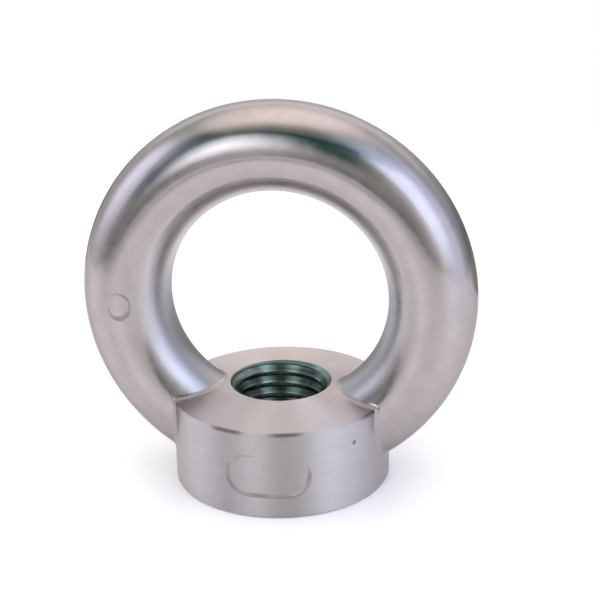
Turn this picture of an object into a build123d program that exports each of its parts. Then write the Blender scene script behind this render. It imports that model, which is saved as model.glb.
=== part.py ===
from build123d import *
import os
from math import radians, tan

# Lifting eye nut, one piece: a ring of round bar on a round collar with a tapped bore.
# Millimetres. The origin is the centre of the seating face, +Z is the axis of the
# thread, and the ring stands in the XZ plane.

# Thread: coarse metric. The bore has the tapping drill's size, and the helix isn't cut.
thread_diameter = 16.0
thread_pitch = 2.0
countersink_margin = 0.2  # the mouth's radius beyond the thread's, at both ends
countersink_angle = 90.0  # included angle, degrees

# Collar
collar_diameter = 35.0
collar_height = 15.8  # seating face to the hole's mouth
crown_slope = 8.5  # degrees, falling from the mouth to the arris
arris_round = 0.3
seat_edge_round = 0.4

# Ring
eye_diameter = 35.0  # clear opening
bar_diameter = 14.0
eye_sink = 2.8  # the opening's lowest point lies this far below the hole's mouth

# Blend where the ring's legs run into the collar
root_round = 1.0

# Worked out from the sizes above
core_radius = (thread_diameter - thread_pitch) / 2
mouth_radius = thread_diameter / 2 + countersink_margin
flare = tan(radians(countersink_angle / 2))  # radius gained per millimetre of height
countersink_depth = (mouth_radius - core_radius) / flare
collar_radius = collar_diameter / 2
crown_fall = tan(radians(crown_slope))  # height lost per millimetre away from the axis
arris_height = collar_height - (collar_radius - mouth_radius) * crown_fall
core_top_height = collar_height + (mouth_radius - core_radius) * crown_fall
ring_radius = (eye_diameter + bar_diameter) / 2
ring_centre_height = collar_height - eye_sink + eye_diameter / 2
overrun = 1.0  # the bore's cutting profile runs past each mouth by this much

with BuildPart() as eye_nut:
    # Collar blank, turned, with a low conical top.
    with BuildSketch(Plane.XZ) as collar_profile:
        with BuildLine():
            Polyline(
                (0, 0),
                (collar_radius, 0),
                (collar_radius, arris_height),
                (core_radius, core_top_height),
                (0, core_top_height),
                close=True,
            )
        make_face()
        arris_corner = collar_profile.vertices().group_by(Axis.X)[-1].sort_by(Axis.Y)[-1]
        fillet(arris_corner, radius=arris_round)
        seat_corner = collar_profile.vertices().group_by(Axis.X)[-1].sort_by(Axis.Y)[0]
        fillet(seat_corner, radius=seat_edge_round)
    revolve(axis=Axis.Z)

    # Ring of round bar. Its lowest stretch lies inside the collar.
    ring_plane = Plane(origin=(0, 0, ring_centre_height), z_dir=(0, 1, 0))
    with Locations(ring_plane):
        Torus(ring_radius, bar_diameter / 2)

    # Blend along the lines where the legs run into the collar's side and top.
    root_edges = eye_nut.edges(Select.NEW).filter_by(lambda edge: edge.center().Z > seat_edge_round)
    fillet(root_edges, radius=root_round)

    # Seating face: what the ring leaves below it is faced off.
    split(bisect_by=Plane.XY, keep=Keep.TOP)

    # Core bore and its two countersinks, cut through as one turned profile.
    with BuildSketch(Plane.XZ):
        with BuildLine():
            Polyline(
                (0, -overrun),
                (mouth_radius + overrun * flare, -overrun),
                (core_radius, countersink_depth),
                (core_radius, collar_height - countersink_depth),
                (mouth_radius + overrun * flare, collar_height + overrun),
                (0, collar_height + overrun),
                close=True,
            )
        make_face()
    revolve(axis=Axis.Z, mode=Mode.SUBTRACT)

eye_nut.part.label = "eye_nut"

os.makedirs("parts", exist_ok=True)
export_step(eye_nut.part, "parts/eye_nut.step")
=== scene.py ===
import math

import bmesh
import bpy
from mathutils import Euler, Matrix, Vector
from mathutils.bvhtree import BVHTree
from mathutils.interpolate import poly_3d_calc


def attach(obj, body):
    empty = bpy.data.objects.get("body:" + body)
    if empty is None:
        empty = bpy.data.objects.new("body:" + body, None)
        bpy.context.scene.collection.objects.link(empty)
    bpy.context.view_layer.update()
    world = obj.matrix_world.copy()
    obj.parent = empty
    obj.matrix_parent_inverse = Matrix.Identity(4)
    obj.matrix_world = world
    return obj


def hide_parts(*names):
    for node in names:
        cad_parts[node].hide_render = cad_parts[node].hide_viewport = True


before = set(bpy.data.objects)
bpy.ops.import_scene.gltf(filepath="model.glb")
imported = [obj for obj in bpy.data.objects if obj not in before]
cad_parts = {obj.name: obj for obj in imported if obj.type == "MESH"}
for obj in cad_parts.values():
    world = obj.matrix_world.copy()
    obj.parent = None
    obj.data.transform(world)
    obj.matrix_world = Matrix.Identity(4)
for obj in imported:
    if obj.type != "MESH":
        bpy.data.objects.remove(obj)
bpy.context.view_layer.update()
scene = bpy.context.scene


# The nut's body: one stainless steel casting, a ring of round bar on a round collar.
# It keeps the form of the CAD node that it replaces. Only the joints between that
# node's faces are closed here, so that the thread and the marks can be cut into it.

MM = 0.001

collar_radius = 17.5 * MM
mouth_height = 15.8 * MM
mouth_radius = 8.2 * MM
core_radius = 7.0 * MM
crown_slope = math.radians(8.5)
crown_fall = math.tan(crown_slope)
arris_round = 0.3 * MM
seat_round = 0.4 * MM
ring_radius = 24.5 * MM
bar_radius = 7.0 * MM
ring_height = 30.5 * MM

cad_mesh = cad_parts["eye_nut"].data
body_mesh = cad_mesh.copy()
body_mesh.name = "eye_nut_body"
nut = bpy.data.objects.new("eye_nut_finished", body_mesh)
scene.collection.objects.link(nut)

# The CAD mesh cuts corners on the collar's two rounded edges. New points out on each
# round give it back its true section. A round is the radius and height of the circle
# that its section turns about, its own radius, and whether it faces up or down.
arris_inset = collar_radius - arris_round
arris_middle = (
    mouth_height
    - (arris_inset - mouth_radius) * crown_fall
    - arris_round / math.cos(crown_slope)
)
rounds = (
    (arris_inset, arris_middle, arris_round, 1),
    (collar_radius - seat_round, seat_round, seat_round, -1),
)


def out_and_up(point, edge_round):
    """Where a point lies in a rounded edge's section, from the section's centre."""
    return math.hypot(point.x, point.y) - edge_round[0], (point.z - edge_round[1]) * edge_round[3]


def on_round(point, edge_round, slack):
    """Whether a point lies on a rounded edge."""
    out, up = out_and_up(point, edge_round)
    return min(out, up) > -slack and abs(math.hypot(out, up) - edge_round[2]) < slack


form = bmesh.new()
form.from_mesh(body_mesh)
bmesh.ops.remove_doubles(form, verts=form.verts, dist=0.0001 * MM)
for edge_round in rounds * 3:
    cut_corners = []
    for edge in form.edges:
        start, end = (vertex.co for vertex in edge.verts)
        if on_round(start, edge_round, 0.003 * MM) and on_round(end, edge_round, 0.003 * MM):
            if not on_round((start + end) / 2, edge_round, 0.01 * MM):
                cut_corners.append(edge)
    made = bmesh.ops.subdivide_edges(form, edges=cut_corners, cuts=1)["geom_inner"]
    for vertex in made:
        if isinstance(vertex, bmesh.types.BMVert):
            out, up = out_and_up(vertex.co, edge_round)
            grow = edge_round[2] / math.hypot(out, up)
            spread = (edge_round[0] + out * grow) / (edge_round[0] + out)
            height = edge_round[1] + up * grow * edge_round[3]
            vertex.co = Vector((vertex.co.x * spread, vertex.co.y * spread, height))
    bmesh.ops.triangulate(form, faces=[face for face in form.faces if len(face.verts) > 3])
form.to_mesh(body_mesh)
form.free()

cutters = bmesh.new()
TAPPED, PRESSED = 0, 1  # the finishes that the cutters leave


def sweep(sections, closed, finish):
    """Adds a tube to the cutters from a row of sections, each a ring of points."""
    rings = [[cutters.verts.new(point) for point in section] for section in sections]
    following = rings[1:] + rings[:1] if closed else rings[1:]
    for ring, other in zip(rings, following):
        for i in range(len(ring)):
            j = (i + 1) % len(ring)
            face = cutters.faces.new((ring[i], ring[j], other[j], other[i]))
            face.material_index = finish
    if not closed:
        cutters.faces.new(list(reversed(rings[0])))
        cutters.faces.new(rings[-1])


# The thread: M16 x 2, right hand, tapped through the plain bore. A tap leaves 60 degree
# grooves with a narrow flat bottom, and flat crests where the drilled wall was. It runs
# out in the countersink at each end.

thread_radius = 8.0 * MM
thread_pitch = 2.0 * MM
thread_bottom = thread_pitch / 8
flank = math.tan(math.radians(30))
inside_margin = 0.2 * MM  # the cutter starts this far inside the drilled wall
cutter_inside = core_radius - inside_margin
cutter_half = thread_bottom / 2 + (thread_radius - cutter_inside) * flank
groove_section = (
    (cutter_inside, -cutter_half),
    (thread_radius, -thread_bottom / 2),
    (thread_radius, thread_bottom / 2),
    (cutter_inside, cutter_half),
)
thread_start = -3.4 * MM
thread_turns = 10
steps_a_turn = 96

sections = []
for step in range(thread_turns * steps_a_turn + 1):
    turn = 2 * math.pi * step / steps_a_turn
    height = thread_start + thread_pitch * step / steps_a_turn
    sections.append(
        [(r * math.cos(turn), r * math.sin(turn), height + z) for r, z in groove_section]
    )
sweep(sections, closed=False, finish=TAPPED)


# Pressed marks: a plain oblong outline on the collar's front and a plain oval on the
# ring's left leg, both without signs. A roll and a punch press them cold, so the
# grooves are shallow and round-bottomed, and deeper on the side that took the load.


def press(line, nose, depths):
    """Adds the cutter of a round nose, pressed in along a closed line of points and normals."""
    overrun = 1.5  # the section runs past both banks, to this many half widths
    steps = [overrun * (k / 5 - 1) for k in range(11)]
    least_rise = 0.002 * MM  # where the depth is negative, the nose is clear
    sections = []
    for i, (point, normal) in enumerate(line):
        rise = max(depths[i], least_rise)
        along = line[(i + 1) % len(line)][0] - line[i - 1][0]
        across = normal.cross(along).normalized() * math.sqrt(2 * nose * rise)
        sections.append([point + across * s + normal * (rise * s * s - depths[i]) for s in steps])
    sweep(sections, closed=True, finish=PRESSED)


oblong_turn = math.radians(1.0)
oblong_height = 7.2 * MM
oblong_length = 13.2 * MM
oblong_width = 6.6 * MM
oblong_nose = 0.8 * MM
oblong_depth = 0.05  # in millimetres, as are the next two
oblong_low = 0.055  # deeper by this along the bottom, and shallower along the top
oblong_ends = 0.03  # what the two ends, and the lower right most of all, add
side_points = 24  # on each straight side and each round end

end_radius = oblong_width / 2
run = oblong_length - oblong_width
outline = []
for i in range(side_points):
    outline.append((run * (i / side_points - 0.5), -end_radius))
for i in range(side_points):
    a = math.pi * (i / side_points - 0.5)
    outline.append((run / 2 + end_radius * math.cos(a), end_radius * math.sin(a)))
outline += [(-x, -z) for x, z in outline]
line, depths = [], []
for x, z in outline:
    turn = oblong_turn + x / collar_radius
    normal = Vector((math.sin(turn), -math.cos(turn), 0))
    line.append((normal * collar_radius + Vector((0, 0, oblong_height + z)), normal))
    lean = 2 * x / oblong_length  # -1 at the left end, 1 at the right end
    low_side = (oblong_low + oblong_ends * lean) * z / end_radius
    depths.append((oblong_depth - low_side + oblong_ends * lean**2) * MM)
press(line, oblong_nose, depths)

stamp_around = math.radians(180.3)
stamp_across = math.radians(91.0)
stamp_height = 4.2 * MM
stamp_width = 3.5 * MM
stamp_nose = 0.6 * MM
stamp_depth = 0.0575  # in millimetres, as are the next three
stamp_low, stamp_right = 0.05, 0.025  # the punch leaned to the bottom and the right
stamp_ends = 0.0425  # deeper by this at top and bottom, and shallower at the sides
stamp_points = 48

line, depths = [], []
for i in range(stamp_points):
    a = 2 * math.pi * i / stamp_points
    u = stamp_around - stamp_height / 2 * math.sin(a) / ring_radius
    v = stamp_across - stamp_width / 2 * math.cos(a) / bar_radius
    outward = Vector((math.cos(u), 0, math.sin(u)))
    normal = outward * math.cos(v) + Vector((0, -1, 0)) * math.sin(v)
    centre = outward * ring_radius + Vector((0, 0, ring_height))
    line.append((centre + normal * bar_radius, normal))
    lean = -stamp_low * math.sin(a) - stamp_right * math.cos(a)
    depths.append((stamp_depth + lean - stamp_ends * math.cos(2 * a)) * MM)
press(line, stamp_nose, depths)

# A small casting pit, high on the collar's side to the right of the oblong.
pit_turn = math.radians(48.6)
pit_height = 10.9 * MM
pit_radius = 0.36 * MM
pit_rise = 0.03 * MM  # its middle stands this far off the surface
pit = Vector((math.sin(pit_turn), -math.cos(pit_turn), 0)) * (collar_radius + pit_rise)
pit.z = pit_height
ball = bmesh.ops.create_icosphere(
    cutters, subdivisions=3, radius=pit_radius, matrix=Matrix.Translation(pit)
)
for vertex in ball["verts"]:
    for face in vertex.link_faces:
        face.material_index = PRESSED


# The steel: cast stainless, a faintly warm grey metal. The ring is belt polished, which
# leaves soft but clear reflections. The collar is turned and rubbed down, so fine rings
# round its axis draw every reflection out up and down.


def add_node(tree, kind, inputs=(), **settings):
    """Adds a node, gives it its settings, and sets or links its inputs."""
    node = tree.nodes.new(kind)
    for name, value in settings.items():
        setattr(node, name, value)
    for name, value in dict(inputs).items():
        if isinstance(value, bpy.types.NodeSocket):
            tree.links.new(value, node.inputs[name])
        else:
            node.inputs[name].default_value = value
    return node


def srgb(hex_colour):
    """An sRGB hex colour as linear RGBA."""
    steps = [int(hex_colour[i : i + 2], 16) / 255 for i in (1, 3, 5)]
    return (*[s / 12.92 if s <= 0.04045 else ((s + 0.055) / 1.055) ** 2.4 for s in steps], 1.0)


def new_material(name):
    """An empty node material and its tree."""
    material = bpy.data.materials.new(name)
    material.use_nodes = True
    material.node_tree.nodes.clear()
    return material, material.node_tree


polished, tree = new_material("belt_polished_stainless")
belt_width = 0.35 * MM  # real belt lines are 0.05 mm wide, too fine to show
belt_length = 9.0 * MM
hand_wave = 7.0 * MM
clouds_a_wave = 2.2  # patches of finer and coarser polish, to each wave of the hand
inside_start, inside_full = 0.37, 0.9  # in bar radii, from the bar's middle to the eye
inside_duller = 0.22

place = add_node(tree, "ShaderNodeTexCoord").outputs["Object"]
from_centre = add_node(
    tree, "ShaderNodeVectorMath", {0: place, 1: (0, 0, ring_height)}, operation="SUBTRACT"
).outputs[0]
split = add_node(tree, "ShaderNodeSeparateXYZ", {0: from_centre}).outputs
in_plane = add_node(
    tree, "ShaderNodeVectorMath", {0: from_centre, 1: (1, 0, 1)}, operation="MULTIPLY"
)
reach = add_node(tree, "ShaderNodeVectorMath", {0: in_plane.outputs[0]}, operation="LENGTH")
around = add_node(tree, "ShaderNodeMath", {0: split["X"], 1: split["Z"]}, operation="ARCTAN2")
along_bar = add_node(
    tree, "ShaderNodeMath", {0: around.outputs[0], 1: ring_radius / belt_length}, operation="MULTIPLY"
)
out_bar = add_node(
    tree, "ShaderNodeMath", {0: reach.outputs["Value"], 1: belt_width}, operation="DIVIDE"
)
over_bar = add_node(tree, "ShaderNodeMath", {0: split["Y"], 1: belt_width}, operation="DIVIDE")
belt_place = add_node(
    tree,
    "ShaderNodeCombineXYZ",
    {0: along_bar.outputs[0], 1: out_bar.outputs[0], 2: over_bar.outputs[0]},
)
belt_lines = add_node(
    tree,
    "ShaderNodeTexNoise",
    {"Vector": belt_place.outputs[0], "Scale": 1.0, "Detail": 2.0, "Roughness": 0.6},
).outputs["Fac"]
waves = add_node(
    tree, "ShaderNodeTexNoise", {"Vector": place, "Scale": 1 / hand_wave, "Detail": 3.0}
).outputs["Fac"]
clouds = add_node(
    tree, "ShaderNodeTexNoise", {"Vector": place, "Scale": clouds_a_wave / hand_wave, "Detail": 4.0}
).outputs["Fac"]
line_roughness = add_node(
    tree,
    "ShaderNodeMapRange",
    {"Value": belt_lines, "From Min": 0.25, "From Max": 0.75, "To Min": -0.03, "To Max": 0.03},
).outputs[0]
cloud_roughness = add_node(
    tree,
    "ShaderNodeMapRange",
    {"Value": clouds, "From Min": 0.3, "From Max": 0.7, "To Min": 0.13, "To Max": 0.2},
).outputs[0]
outside_roughness = add_node(
    tree, "ShaderNodeMath", {0: line_roughness, 1: cloud_roughness}, operation="ADD"
).outputs[0]

# Inside the eye the belt reaches the steel less, so it stays duller there. Its colour there is
# painted light and shade: palest at the top and darker down the legs, standing in for the reflections
# it shows.
inside = add_node(
    tree,
    "ShaderNodeMapRange",
    {
        "Value": reach.outputs["Value"],
        "From Min": ring_radius - inside_start * bar_radius,
        "From Max": ring_radius - inside_full * bar_radius,
    },
    interpolation_type="SMOOTHSTEP",
).outputs[0]
inside_roughness = add_node(
    tree, "ShaderNodeMath", {0: inside, 1: inside_duller}, operation="MULTIPLY"
).outputs[0]
roughness = add_node(
    tree, "ShaderNodeMath", {0: outside_roughness, 1: inside_roughness}, operation="ADD"
).outputs[0]
tone = add_node(
    tree,
    "ShaderNodeMapRange",
    {"Value": clouds, "From Min": 0.3, "From Max": 0.7},
).outputs[0]
outside_colour = add_node(
    tree,
    "ShaderNodeMix",
    {0: tone, 6: srgb("#A29B9C"), 7: srgb("#ACA4A3")},
    data_type="RGBA",
).outputs[2]
painted_light_up_ring = add_node(
    tree,
    "ShaderNodeMapRange",
    {"Value": split["Z"], "From Min": 0.0, "From Max": 0.4 * ring_radius},
    interpolation_type="SMOOTHSTEP",
).outputs[0]
# Painted light and shade: the inside is paler at the top of the eye and darker down the legs.
inside_painted_light_colour = add_node(
    tree, "ShaderNodeMix", {0: painted_light_up_ring, 6: srgb("#B2AFB3"), 7: srgb("#E4E0E0")}, data_type="RGBA"
).outputs[2]
colour = add_node(
    tree, "ShaderNodeMix", {0: inside, 6: outside_colour, 7: inside_painted_light_colour}, data_type="RGBA"
).outputs[2]
wavy = add_node(
    tree, "ShaderNodeBump", {"Height": waves, "Distance": 0.05 * MM}
).outputs["Normal"]
brushed = add_node(
    tree, "ShaderNodeBump", {"Height": belt_lines, "Distance": 0.003 * MM, "Normal": wavy}
).outputs["Normal"]
shader = add_node(
    tree,
    "ShaderNodeBsdfPrincipled",
    {
        "Base Color": colour,
        "Metallic": 1.0,
        "Roughness": roughness,
        "Specular Tint": srgb("#D4D4D8"),
        "Normal": brushed,
    },
)
add_node(tree, "ShaderNodeOutputMaterial", {"Surface": shader.outputs[0]})


def off_axis(tree, place):
    """The level way out from the nut's axis to a place, and how far that is."""
    outward = add_node(tree, "ShaderNodeVectorMath", {0: place, 1: (1, 1, 0)}, operation="MULTIPLY")
    radius = add_node(tree, "ShaderNodeVectorMath", {0: outward.outputs[0]}, operation="LENGTH")
    return outward.outputs[0], radius.outputs["Value"]


def lathe_lines(tree, place, pitch, arc):
    """Noise drawn out round the nut's axis, as a tool at a lathe leaves it."""
    outward, radius = off_axis(tree, place)
    facing = add_node(tree, "ShaderNodeVectorMath", {0: outward}, operation="NORMALIZE")
    spread = add_node(
        tree, "ShaderNodeVectorMath", {0: facing.outputs[0], "Scale": arc}, operation="SCALE"
    )
    height = add_node(tree, "ShaderNodeSeparateXYZ", {0: place}).outputs["Z"]
    travel = add_node(tree, "ShaderNodeMath", {0: height, 1: radius}, operation="SUBTRACT")
    passes = add_node(tree, "ShaderNodeMath", {0: travel.outputs[0], 1: pitch}, operation="DIVIDE")
    lift = add_node(tree, "ShaderNodeCombineXYZ", {2: passes.outputs[0]})
    path = add_node(
        tree, "ShaderNodeVectorMath", {0: spread.outputs[0], 1: lift.outputs[0]}, operation="ADD"
    )
    return add_node(
        tree,
        "ShaderNodeTexNoise",
        {"Vector": path.outputs[0], "Scale": 1.0, "Detail": 2.0, "Roughness": 0.6},
    ).outputs["Fac"]


def across_lines(tree, place):
    """The direction on the surface that crosses the lathe's lines."""
    normal = add_node(tree, "ShaderNodeNewGeometry").outputs["Normal"]
    along = add_node(
        tree, "ShaderNodeVectorMath", {0: (0, 0, 1), 1: place}, operation="CROSS_PRODUCT"
    )
    return add_node(
        tree, "ShaderNodeVectorMath", {0: normal, 1: along.outputs[0]}, operation="CROSS_PRODUCT"
    ).outputs[0]


turned, tree = new_material("satin_turned_stainless")
lathe_pitch = 0.4 * MM  # real feed marks are 0.1 mm apart, too fine to show
lathe_arc = 2.0  # changes of the marks in each radian round the axis
rubbed_patch = 3.5 * MM
crown_start, crown_full = 14.2 * MM, 14.5 * MM  # heights where the crown's tone sets in
place = add_node(tree, "ShaderNodeTexCoord").outputs["Object"]
lines = lathe_lines(tree, place, lathe_pitch, lathe_arc)
clouds = add_node(
    tree, "ShaderNodeTexNoise", {"Vector": place, "Scale": 1 / rubbed_patch, "Detail": 4.0}
).outputs["Fac"]
line_roughness = add_node(
    tree,
    "ShaderNodeMapRange",
    {"Value": lines, "From Min": 0.25, "From Max": 0.75, "To Min": -0.04, "To Max": 0.04},
).outputs[0]
cloud_roughness = add_node(
    tree,
    "ShaderNodeMapRange",
    {"Value": clouds, "From Min": 0.3, "From Max": 0.7, "To Min": 0.45, "To Max": 0.55},
).outputs[0]
roughness = add_node(
    tree, "ShaderNodeMath", {0: line_roughness, 1: cloud_roughness}, operation="ADD"
).outputs[0]
tone = add_node(
    tree,
    "ShaderNodeMapRange",
    {"Value": clouds, "From Min": 0.3, "From Max": 0.7},
).outputs[0]
# Painted light and shade: the crown is painted paler than the side, as if the top face caught more
# light.
side_painted_shade_colour = add_node(
    tree,
    "ShaderNodeMix",
    {0: tone, 6: srgb("#B8B1B3"), 7: srgb("#C4BDBC")},
    data_type="RGBA",
).outputs[2]
crown_painted_light_colour = add_node(
    tree,
    "ShaderNodeMix",
    {0: tone, 6: srgb("#C4BABB"), 7: srgb("#CEC3C1")},
    data_type="RGBA",
).outputs[2]
split = add_node(tree, "ShaderNodeSeparateXYZ", {0: place}).outputs
on_crown = add_node(
    tree,
    "ShaderNodeMapRange",
    {"Value": split["Z"], "From Min": crown_start, "From Max": crown_full},
).outputs[0]
crown_and_side_painted_colour = add_node(
    tree, "ShaderNodeMix", {0: on_crown, 6: side_painted_shade_colour, 7: crown_painted_light_colour}, data_type="RGBA"
).outputs[2]

# Painted dark reflections on stretches of the sharp arris: where the middle of each one lies, and
# half its length, in degrees round from the front.
painted_dark_reflections = ((-165, 12), (-124, 9), (-78, 8), (-20, 8), (11, 7), (62, 7), (108, 11))
fading = 4  # degrees, at both ends
painted_dark_reach, painted_dark_full = 0.6 * MM, 0.1 * MM  # away from the arris
_, radius = off_axis(tree, place)
section = add_node(tree, "ShaderNodeCombineXYZ", {0: radius, 2: split["Z"]})
from_arris = add_node(
    tree,
    "ShaderNodeVectorMath",
    {0: section.outputs[0], 1: (collar_radius, 0, arris_middle + arris_round / 2)},
    operation="DISTANCE",
)
near_arris = add_node(
    tree,
    "ShaderNodeMapRange",
    {"Value": from_arris.outputs["Value"], "From Min": painted_dark_reach, "From Max": painted_dark_full},
    interpolation_type="SMOOTHSTEP",
).outputs[0]
front = add_node(tree, "ShaderNodeMath", {0: split["Y"], 1: -1.0}, operation="MULTIPLY")
turn = add_node(
    tree, "ShaderNodeMath", {0: split["X"], 1: front.outputs[0]}, operation="ARCTAN2"
).outputs[0]
painted_dark_patches = None
for middle, half_length in painted_dark_reflections:
    offset = add_node(
        tree, "ShaderNodeMath", {0: turn, 1: math.radians(middle)}, operation="SUBTRACT"
    )
    away = add_node(tree, "ShaderNodeMath", {0: offset.outputs[0]}, operation="ABSOLUTE")
    patch = add_node(
        tree,
        "ShaderNodeMapRange",
        {
            "Value": away.outputs[0],
            "From Min": math.radians(half_length + fading),
            "From Max": math.radians(half_length - fading),
        },
        interpolation_type="SMOOTHSTEP",
    ).outputs[0]
    if painted_dark_patches is not None:
        patch = add_node(
            tree, "ShaderNodeMath", {0: painted_dark_patches, 1: patch}, operation="MAXIMUM"
        ).outputs[0]
    painted_dark_patches = patch
arris_painted_dark = add_node(
    tree, "ShaderNodeMath", {0: near_arris, 1: painted_dark_patches}, operation="MULTIPLY"
).outputs[0]
# Painted dark reflections along the arris.
colour = add_node(
    tree, "ShaderNodeMix", {0: arris_painted_dark, 6: crown_and_side_painted_colour, 7: srgb("#857E7E")}, data_type="RGBA"
).outputs[2]
lined = add_node(
    tree, "ShaderNodeBump", {"Height": lines, "Distance": 0.006 * MM}
).outputs["Normal"]
shader = add_node(
    tree,
    "ShaderNodeBsdfPrincipled",
    {
        "Base Color": colour,
        "Metallic": 1.0,
        "Roughness": roughness,
        "Normal": lined,
        "Anisotropic": 0.88,
        "Tangent": across_lines(tree, place),
    },
)
add_node(tree, "ShaderNodeOutputMaterial", {"Surface": shader.outputs[0]})

# The thread and its countersinks are painted in a dark green shade: darkest down in the grooves,
# lighter on the crests and in the countersinks.
tapped, tree = new_material("tapped_stainless")
tap_pitch = 0.3 * MM  # real marks of the tap are 0.05 mm apart, too fine to show
tap_arc = 4.0
groove_shade_start, groove_shade_end = 0.02 * MM, 0.25 * MM  # from the crests down into the groove
flare_start, flare_full = 1.2 * MM, 1.0 * MM  # below the mouth
place = add_node(tree, "ShaderNodeTexCoord").outputs["Object"]
lines = lathe_lines(tree, place, tap_pitch, tap_arc)
roughness = add_node(
    tree,
    "ShaderNodeMapRange",
    {"Value": lines, "From Min": 0.3, "From Max": 0.7, "To Min": 0.24, "To Max": 0.34},
).outputs[0]
groove_painted_shade = add_node(
    tree,
    "ShaderNodeMix",
    {0: lines, 6: srgb("#475A53"), 7: srgb("#60736B")},
    data_type="RGBA",
).outputs[2]
_, radius = off_axis(tree, place)
in_groove = add_node(
    tree,
    "ShaderNodeMapRange",
    {
        "Value": radius,
        "From Min": core_radius + groove_shade_start,
        "From Max": core_radius + groove_shade_end,
    },
).outputs[0]
# Painted shade: the grooves darker than the crests.
thread_painted_shade_colour = add_node(
    tree, "ShaderNodeMix", {0: in_groove, 6: srgb("#828A86"), 7: groove_painted_shade}, data_type="RGBA"
).outputs[2]
height = add_node(tree, "ShaderNodeSeparateXYZ", {0: place}).outputs["Z"]
in_flare = add_node(
    tree,
    "ShaderNodeMapRange",
    {
        "Value": height,
        "From Min": mouth_height - flare_start,
        "From Max": mouth_height - flare_full,
    },
).outputs[0]
# Painted shade in the countersink, a lighter green than the thread.
colour = add_node(
    tree, "ShaderNodeMix", {0: in_flare, 6: thread_painted_shade_colour, 7: srgb("#75867E")}, data_type="RGBA"
).outputs[2]
shader = add_node(
    tree,
    "ShaderNodeBsdfPrincipled",
    {
        "Base Color": colour,
        "Metallic": 1.0,
        "Roughness": roughness,
        "Anisotropic": 0.75,
        "Tangent": across_lines(tree, place),
    },
)
add_node(tree, "ShaderNodeOutputMaterial", {"Surface": shader.outputs[0]})

# The blends at the ring's roots are out of the belt's reach and keep a duller skin.
blasted, tree = new_material("blasted_stainless")
grain_size = 1.5 * MM  # real grit leaves dents 0.1 mm wide, too fine to show
place = add_node(tree, "ShaderNodeTexCoord").outputs["Object"]
grain = add_node(
    tree, "ShaderNodeTexNoise", {"Vector": place, "Scale": 1 / grain_size, "Detail": 3.0}
).outputs["Fac"]
colour = add_node(
    tree, "ShaderNodeMix", {0: grain, 6: srgb("#A09795"), 7: srgb("#B2A9A7")}, data_type="RGBA"
).outputs[2]
roughness = add_node(
    tree, "ShaderNodeMapRange", {"Value": grain, "To Min": 0.42, "To Max": 0.54}
).outputs[0]
shader = add_node(
    tree,
    "ShaderNodeBsdfPrincipled",
    {"Base Color": colour, "Metallic": 1.0, "Roughness": roughness},
)
add_node(tree, "ShaderNodeOutputMaterial", {"Surface": shader.outputs[0]})

# The pressed marks and the pit are a darker grey than the steel round them, mottled at random.
pressed, tree = new_material("pressed_stainless")
mark_mottle_size = 3.0 * MM
place = add_node(tree, "ShaderNodeTexCoord").outputs["Object"]
mark_mottle = add_node(
    tree, "ShaderNodeTexNoise", {"Vector": place, "Scale": 1 / mark_mottle_size, "Detail": 3.0}
).outputs["Fac"]
tone = add_node(
    tree, "ShaderNodeMapRange", {"Value": mark_mottle, "From Min": 0.35, "From Max": 0.65}
).outputs[0]
colour = add_node(
    tree,
    "ShaderNodeMix",
    {0: tone, 6: srgb("#8F868A"), 7: srgb("#ADA3A5")},
    data_type="RGBA",
).outputs[2]
shader = add_node(
    tree,
    "ShaderNodeBsdfPrincipled",
    {"Base Color": colour, "Metallic": 1.0, "Roughness": 0.4},
)
add_node(tree, "ShaderNodeOutputMaterial", {"Surface": shader.outputs[0]})

body_mesh.materials.clear()
for material in (polished, turned, blasted):
    body_mesh.materials.append(material)

bmesh.ops.recalc_face_normals(cutters, faces=cutters.faces)
cutter_mesh = bpy.data.meshes.new("cutters")
cutters.to_mesh(cutter_mesh)
cutters.free()
for material in (tapped, pressed):  # in the order of TAPPED and PRESSED
    cutter_mesh.materials.append(material)
cutter = bpy.data.objects.new("cutters", cutter_mesh)
scene.collection.objects.link(cutter)
modifier = nut.modifiers.new("cut", "BOOLEAN")
modifier.object = cutter
modifier.operation = "DIFFERENCE"
modifier.solver = "EXACT"
modifier.material_mode = "TRANSFER"
bpy.context.view_layer.update()
finished = bpy.data.meshes.new_from_object(
    nut.evaluated_get(bpy.context.evaluated_depsgraph_get())
)
finished.name = "eye_nut_finished"
nut.modifiers.clear()
nut.data = finished
bpy.data.objects.remove(cutter)

# Each face takes its finish from where it lies. Uncut faces take the smooth normals of
# the CAD surface below them. The marks are smooth along the cut and sharp at its banks,
# and the thread's crests and roots are rubbed round.
triangles = [tuple(face.vertices) for face in cad_mesh.polygons]
points = [vertex.co.copy() for vertex in cad_mesh.vertices]
cad_surface = BVHTree.FromPolygons(points, triangles)
cad_normals = [corner.vector.copy() for corner in cad_mesh.corner_normals]
turned_index = finished.materials.find(turned.name)
tapped_index = finished.materials.find(tapped.name)
pressed_index = finished.materials.find(pressed.name)
blasted_index = finished.materials.find(blasted.name)
tolerance = 0.02 * MM
thread_limit = math.cos(math.radians(65))  # sides that meet flatter than this are smooth
mark_limit = math.cos(math.radians(25))

form = bmesh.new()
form.from_mesh(finished)
form.faces.ensure_lookup_table()
cut = [face.material_index in (tapped_index, pressed_index) for face in form.faces]
rounded = {}
for face in form.faces:
    if cut[face.index]:
        continue
    middle = face.calc_center_median()
    radius = math.hypot(middle.x, middle.y)
    crown_height = mouth_height - (radius - mouth_radius) * crown_fall
    on_side = abs(radius - collar_radius) < tolerance and middle.z < mouth_height
    on_crown = abs(middle.z - crown_height) < tolerance and radius < collar_radius
    reach = math.hypot(middle.x, middle.z - ring_height)
    on_bar = abs(math.hypot(reach - ring_radius, middle.y) - bar_radius) < 2 * tolerance
    for edge_round in rounds:
        if on_round(middle, edge_round, tolerance):
            rounded[face.index] = edge_round
    if radius < mouth_radius and middle.z < mouth_height:
        face.material_index = tapped_index
    elif on_side or on_crown or face.index in rounded or middle.z < seat_round:
        face.material_index = turned_index
    elif not on_bar:
        face.material_index = blasted_index


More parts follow.
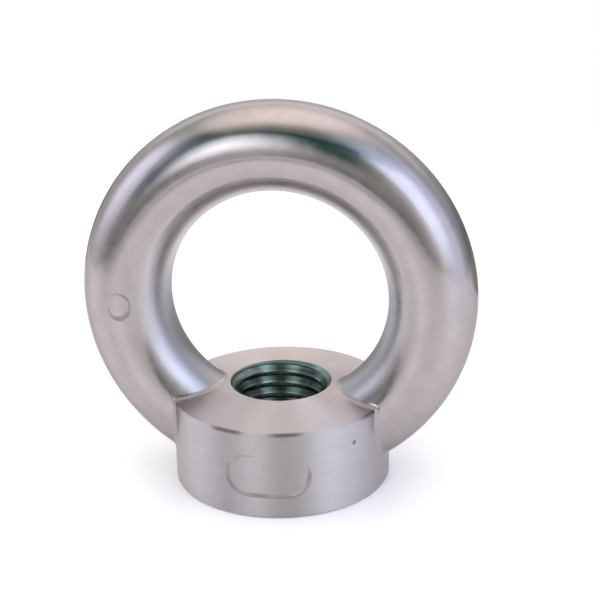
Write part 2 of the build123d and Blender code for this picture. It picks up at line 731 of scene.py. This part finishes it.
def surface_normal(face, place):
    """The cut face's own normal, or the CAD surface's normal below a place on an uncut face."""
    if cut[face.index]:
        return face.normal
    if face.index in rounded:
        out, up = out_and_up(place, rounded[face.index])
        facing = Vector((place.x, place.y, 0)).normalized()
        return (facing * out + Vector((0, 0, up * rounded[face.index][3]))).normalized()
    # A hundredth of the way in, so that the nearest surface is the face's own.
    place, _, index, _ = cad_surface.find_nearest(place.lerp(face.calc_center_median(), 0.01))
    shares = poly_3d_calc([points[i] for i in triangles[index]], place)
    return sum((cad_normals[3 * index + k] * shares[k] for k in range(3)), Vector()).normalized()


normals = []
for face in form.faces:
    in_thread = face.material_index == tapped_index
    limit = thread_limit if in_thread else mark_limit
    for vertex in face.verts:
        own = surface_normal(face, vertex.co)
        if in_thread or cut[face.index]:
            sides = {}  # one normal for each side of the edge, whatever its count of faces
            for other in vertex.link_faces:
                if other.material_index == face.material_index:
                    normal = surface_normal(other, vertex.co)
                    if normal.dot(own) > limit:
                        side = (round(normal.z * 2), cut[other.index])
                        sides[side] = sides.get(side, Vector()) + normal * other.calc_area()
            own = sum((side.normalized() for side in sides.values()), Vector()).normalized()
        normals.append(own)
form.to_mesh(finished)
form.free()
finished.polygons.foreach_set("use_smooth", [True] * len(finished.polygons))
finished.normals_split_custom_set(normals)

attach(nut, "root")
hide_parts("eye_nut")


# The table: a plain white coated board, large enough to fill the view. It keeps the
# nut's soft shadow, and the steel shows the faint gloss of the lamps on it.

paper, tree = new_material("white_coated_board")
shader = add_node(
    tree, "ShaderNodeBsdfPrincipled", {"Base Color": srgb("#F4F4F4"), "Roughness": 0.3}
)
add_node(tree, "ShaderNodeOutputMaterial", {"Surface": shader.outputs[0]})
table_radius = 0.24
disc = bmesh.new()
bmesh.ops.create_circle(disc, cap_ends=True, segments=96, radius=table_radius)
table_mesh = bpy.data.meshes.new("table")
disc.to_mesh(table_mesh)
disc.free()
table_mesh.materials.append(paper)
table = bpy.data.objects.new("table", table_mesh)
scene.collection.objects.link(table)


# The light: a white room, a window in front on the left, soft lamps on both sides, above and behind,
# mostly dark screens round the camera and walls, and two cards by the nut. The screens and cards glow
# with their own colour. Turns are in degrees right of the front, heights above level, as seen from
# the nut.

world = bpy.data.worlds.new("white_room")
world.use_nodes = True
world.node_tree.nodes.clear()
room = add_node(world.node_tree, "ShaderNodeBackground", {"Color": (1, 1, 1, 1), "Strength": 1.0})
add_node(world.node_tree, "ShaderNodeOutputWorld", {"Surface": room.outputs[0]})
scene.world = world

aim = Vector((0, 0, 30 * MM))


def hang(thing, turn, height, distance):
    """Puts a lamp or a screen in the studio, facing the nut."""
    turn, height = math.radians(turn), math.radians(height)
    direction = Vector(
        (math.sin(turn) * math.cos(height), -math.cos(turn) * math.cos(height), math.sin(height))
    )
    thing.location = aim + direction * distance
    thing.rotation_euler = direction.to_track_quat("Z", "Y").to_euler()
    scene.collection.objects.link(thing)


def soft_edges(tree, place, left, right, bottom, top):
    """A factor that is 1 in the middle of a sheet and fades to 0 over these shares of it."""
    split = add_node(tree, "ShaderNodeSeparateXYZ", {"Vector": place})
    factor = None
    ramps = (("X", 0, left), ("X", 1, 1 - right), ("Y", 0, bottom), ("Y", 1, 1 - top))
    for axis, start, end in ramps:
        ramp = add_node(
            tree,
            "ShaderNodeMapRange",
            {"Value": split.outputs[axis], "From Min": start, "From Max": end},
            interpolation_type="SMOOTHSTEP",
        ).outputs[0]
        if factor is not None:
            ramp = add_node(
                tree, "ShaderNodeMath", {0: factor, 1: ramp}, operation="MULTIPLY"
            ).outputs[0]
        factor = ramp
    return factor


def lamp(name, turn, height, wide, high, edges, level, colour, distance=0.8):
    """An area lamp that looks wide x high degrees from the nut and adds this much light."""
    light = bpy.data.lights.new(name, "AREA")
    light.shape = "RECTANGLE"
    light.size = 2 * distance * math.tan(math.radians(wide / 2))
    light.size_y = 2 * distance * math.tan(math.radians(high / 2))
    light.energy = level * math.pi * light.size * light.size_y
    light.use_nodes = True
    tree = light.node_tree
    tree.nodes.clear()
    place = add_node(tree, "ShaderNodeNewGeometry").outputs["Parametric"]
    glow = add_node(
        tree,
        "ShaderNodeEmission",
        {"Color": srgb(colour), "Strength": soft_edges(tree, place, *edges)},
    )
    add_node(tree, "ShaderNodeOutputLight", {"Surface": glow.outputs[0]})
    hang(bpy.data.objects.new(name, light), turn, height, distance)


def screen(name, turn, height, wide, high, edges, cover, colour, distance=1.0):
    """A screen sheet that looks wide x high degrees, hides this share of what is behind, and glows
    with its own colour.
    """
    x = distance * math.tan(math.radians(wide / 2))
    y = distance * math.tan(math.radians(high / 2))
    mesh = bpy.data.meshes.new(name)
    mesh.from_pydata([(-x, -y, 0), (x, -y, 0), (x, y, 0), (-x, y, 0)], [], [(0, 1, 2, 3)])
    material, tree = new_material(name)
    place = add_node(tree, "ShaderNodeTexCoord").outputs["Generated"]
    fade = soft_edges(tree, place, *edges)
    share = add_node(tree, "ShaderNodeMath", {0: fade, 1: cover}, operation="MULTIPLY")
    clear = add_node(tree, "ShaderNodeBsdfTransparent")
    # The screen glows with its colour, as emitted light.
    screen_glow = add_node(tree, "ShaderNodeEmission", {"Color": srgb(colour)})
    mix = add_node(
        tree,
        "ShaderNodeMixShader",
        {0: share.outputs[0], 1: clear.outputs[0], 2: screen_glow.outputs[0]},
    )
    add_node(tree, "ShaderNodeOutputMaterial", {"Surface": mix.outputs[0]})
    mesh.materials.append(material)
    sheet = bpy.data.objects.new(name, mesh)
    sheet.visible_camera = False
    sheet.visible_diffuse = False
    hang(sheet, turn, height, distance)


lamp("window", -22, 25, 50, 50, (0.55, 0.6, 0.45, 0.55), 3.4, "#F2F6FF")
lamp("right_softbox", 60, 29, 52, 80, (0.35, 0.5, 0.35, 0.5), 1.9, "#C6DCFC")
lamp("right_fill", 86, 20, 62, 80, (0.5, 0.5, 0.3, 0.4), 0.75, "#98B0FF")
lamp("left_softbox", -80, 21, 74, 60, (0.4, 0.6, 0.5, 0.35), 1.65, "#D8D8F4")
lamp("overhead_softbox", 5, 88, 80, 100, (0.2, 0.4, 0.6, 0.35), 0.9, "#FFEDE0")
lamp("back_softbox", 180, 36, 130, 44, (0.4, 0.4, 0.5, 0.5), 0.55, "#FFF8F2")
screen("camera_screen", -14, 42, 94, 74, (0.03, 0.3, 0.35, 0.4), 0.95, "#1E5A54")
screen("camera_stand", 17, -22, 62, 112, (0.2, 0.5, 0.2, 0.58), 0.88, "#38482C")
screen("left_stand", -56, -14, 96, 110, (0.6, 0.25, 0.4, 0.2), 0.62, "#273E44")
screen("low_card", -8, -8, 120, 12, (0.2, 0.6, 0.4, 0.5), 0.48, "#4A443C", distance=0.13)
screen("back_card", 174, -2, 130, 48, (0.3, 0.3, 0.2, 0.35), 0.76, "#928C86", distance=0.09)
screen("right_wall", 130, 0, 70, 120, (0.3, 0.35, 0.4, 0.4), 0.42, "#3F7078")
screen("left_wall", -106, 30, 94, 100, (0.4, 0.6, 0.6, 0.2), 0.5, "#A4BCB4")
screen("right_top_screen", 42, 61, 90, 46, (0.03, 0.6, 0.15, 0.6), 0.98, "#005C64")

# The camera: a long lens about 240 mm from the nut, a little to the right and above.

lens = bpy.data.cameras.new("camera")
lens.lens = 90.7
lens.sensor_width = 36.0
lens.clip_start = 10 * MM
camera = bpy.data.objects.new("camera", lens)
scene.collection.objects.link(camera)
camera.location = (36.52 * MM, -221.52 * MM, 114.9 * MM)
pan, tilt, roll = math.radians(8.507), math.radians(20.815), math.radians(-1.195)
level_view = Euler((math.pi / 2 - tilt, 0, pan)).to_matrix()
camera.rotation_euler = (level_view @ Euler((0, 0, roll)).to_matrix()).to_euler()
scene.camera = camera
scene.view_settings.view_transform = "Standard"
